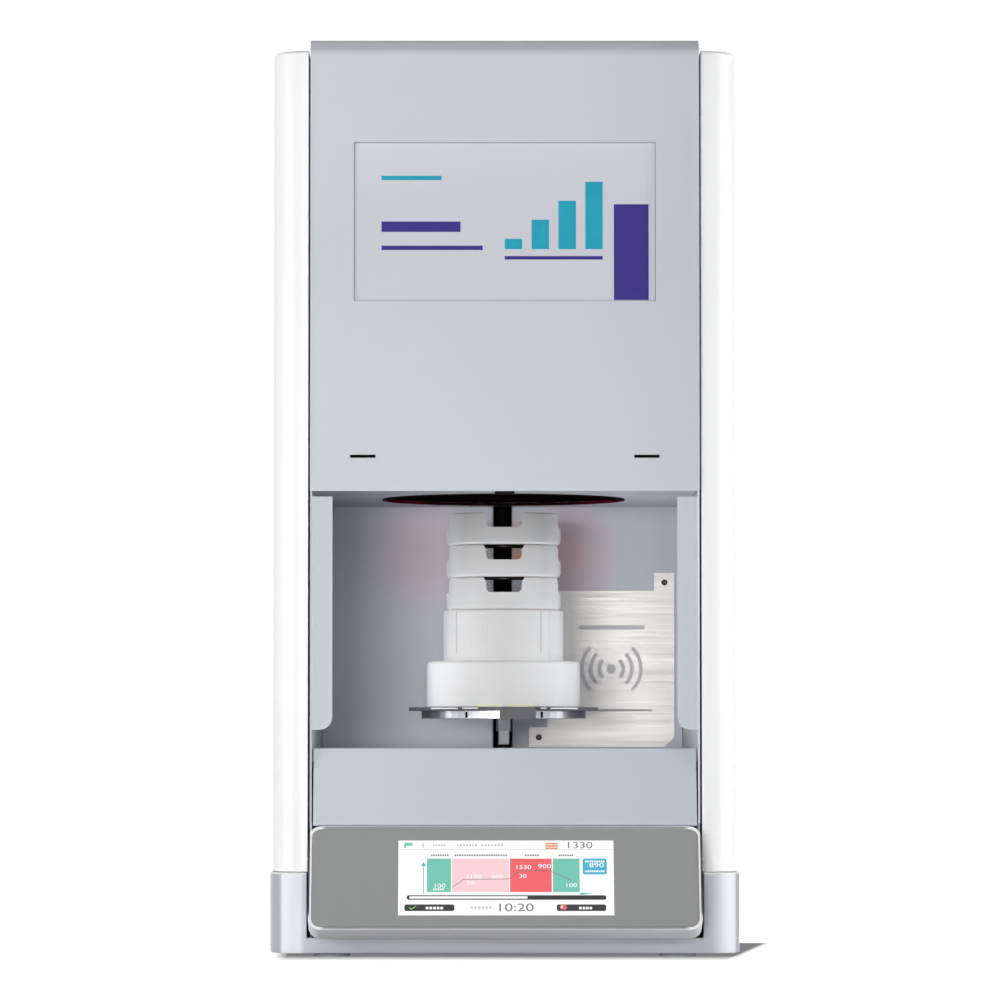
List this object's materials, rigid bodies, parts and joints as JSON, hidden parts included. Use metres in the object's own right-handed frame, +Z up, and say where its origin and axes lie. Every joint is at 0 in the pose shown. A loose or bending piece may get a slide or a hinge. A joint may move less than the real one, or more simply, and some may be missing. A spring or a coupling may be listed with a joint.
{
  "type": "dental sintering furnace",
  "caption": "Bottom-loading dental sintering furnace: a lift raises a notched tray stack into an insulated chamber above an open bay, with a sloping touch display in front.",
  "frame": {"origin": "on the ground under the middle of the whole furnace", "axes": "+Z up, the front with the display faces -Y, +X to the right seen from the front"},
  "size_m": [0.396, 0.504, 0.776],
  "materials": {
    "painted_grey": "grey-blue powder coat",
    "white_enamel": "white enamel",
    "badge_film": "satin panel with plain printed bands",
    "dark_rubber": "moulded rubber",
    "plain_steel": "bare folded sheet",
    "brushed_steel": "bright brushed sheet",
    "polished_steel": "ground and polished",
    "burnt_steel": "heat-darkened",
    "dark_steel": "dark lacquer",
    "cast_grey": "bead-blasted",
    "bronze": "turned",
    "fibre_board": "pressed ceramic fibre, matt",
    "ceramic_white": "unglazed alumina",
    "element_dark": "dark fired",
    "display_silver": "smooth silver paint",
    "display_grey": "satin grey",
    "screen_glass": "lit display glass",
    "circuit_green": "solder mask",
    "black_plastic": "moulded"
  },
  "bodies": {
    "cabinet": {"base_tray": "painted_grey", "hood": "painted_grey", "rear_cover": "painted_grey", "side_sheet_left": "painted_grey", "side_sheet_right": "painted_grey", "bay_back_left": "painted_grey", "bay_back_right": "painted_grey", "bay_ceiling": "painted_grey", "bay_floor": "painted_grey", "lower_front_panel": "painted_grey", "side_casing_left": "white_enamel", "side_casing_right": "white_enamel", "badge_plate": "badge_film", "foot_front_left": "dark_rubber", "foot_front_right": "dark_rubber", "foot_rear_left": "dark_rubber", "foot_rear_right": "dark_rubber", "display_bracket": "plain_steel", "chamber_casing": "plain_steel", "lift_frame": "plain_steel", "sensor_plate": "brushed_steel", "guide_rod_left": "polished_steel", "guide_rod_right": "polished_steel", "screw_bearing": "polished_steel", "fan_grille": "polished_steel", "mouth_pan": "burnt_steel", "sensor_screw_upper": "dark_steel", "sensor_screw_lower": "dark_steel", "lift_motor": "dark_steel", "transformer": "dark_steel", "power_relay": "cast_grey", "insulation_floor": "fibre_board", "insulation_muffle": "fibre_board", "insulation_lid": "fibre_board", "element_holder": "ceramic_white", "thermocouple": "ceramic_white", "heating_element_1": "element_dark", "heating_element_2": "element_dark", "heating_element_3": "element_dark", "heating_element_4": "element_dark", "display_housing": "display_silver", "display_plate": "display_grey", "touch_screen": "screen_glass", "control_board": "circuit_green", "fan_frame": "black_plastic", "power_inlet": "black_plastic"},
    "lift": {"lift_carriage": "cast_grey", "lead_nut": "bronze", "lift_arm": "cast_grey", "support_ring": "polished_steel", "support_disc": "burnt_steel", "insulating_plug": "fibre_board", "pedestal": "fibre_board"},
    "lead_screw": {"lead_screw": "polished_steel", "motor_coupling": "cast_grey"},
    "tray_lower": {"sintering_tray_1": "ceramic_white"},
    "tray_middle": {"sintering_tray_2": "ceramic_white"},
    "tray_upper": {"sintering_tray_3": "ceramic_white"},
    "fan": {"fan_rotor": "black_plastic"},
    "switch": {"power_switch": "black_plastic"}
  },
  "joints": [
    {"name": "platform_lift", "type": "slide", "parent": "cabinet", "child": "lift", "axis": [0, 0, 1], "range_m": [0, 0.19]},
    {"name": "screw_turn", "type": "hinge", "parent": "cabinet", "child": "lead_screw", "pos_m": [0, 0.152, 0.103], "axis": [0, 0, 1], "range_deg": [-8600, 0]},
    {"name": "tray_1_lift_off", "type": "slide", "parent": "lift", "child": "tray_lower", "axis": [0, 0, 1], "range_m": [0, 0.01]},
    {"name": "tray_2_lift_off", "type": "slide", "parent": "tray_lower", "child": "tray_middle", "axis": [0, 0, 1], "range_m": [0, 0.01]},
    {"name": "tray_3_lift_off", "type": "slide", "parent": "tray_middle", "child": "tray_upper", "axis": [0, 0, 1], "range_m": [0, 0.01]},
    {"name": "fan_spin", "type": "hinge", "parent": "cabinet", "child": "fan", "pos_m": [-0.095, 0.2255, 0.15], "axis": [0, 1, 0], "continuous": true},
    {"name": "switch_rock", "type": "hinge", "parent": "cabinet", "child": "switch", "pos_m": [0.105, 0.24622, 0.145], "axis": [1, 0, 0], "range_deg": [-16, 0]}
  ],
  "couplings": [
    {"joint": "screw_turn", "follows": "platform_lift", "rad_per_m": -785.4}
  ]
}
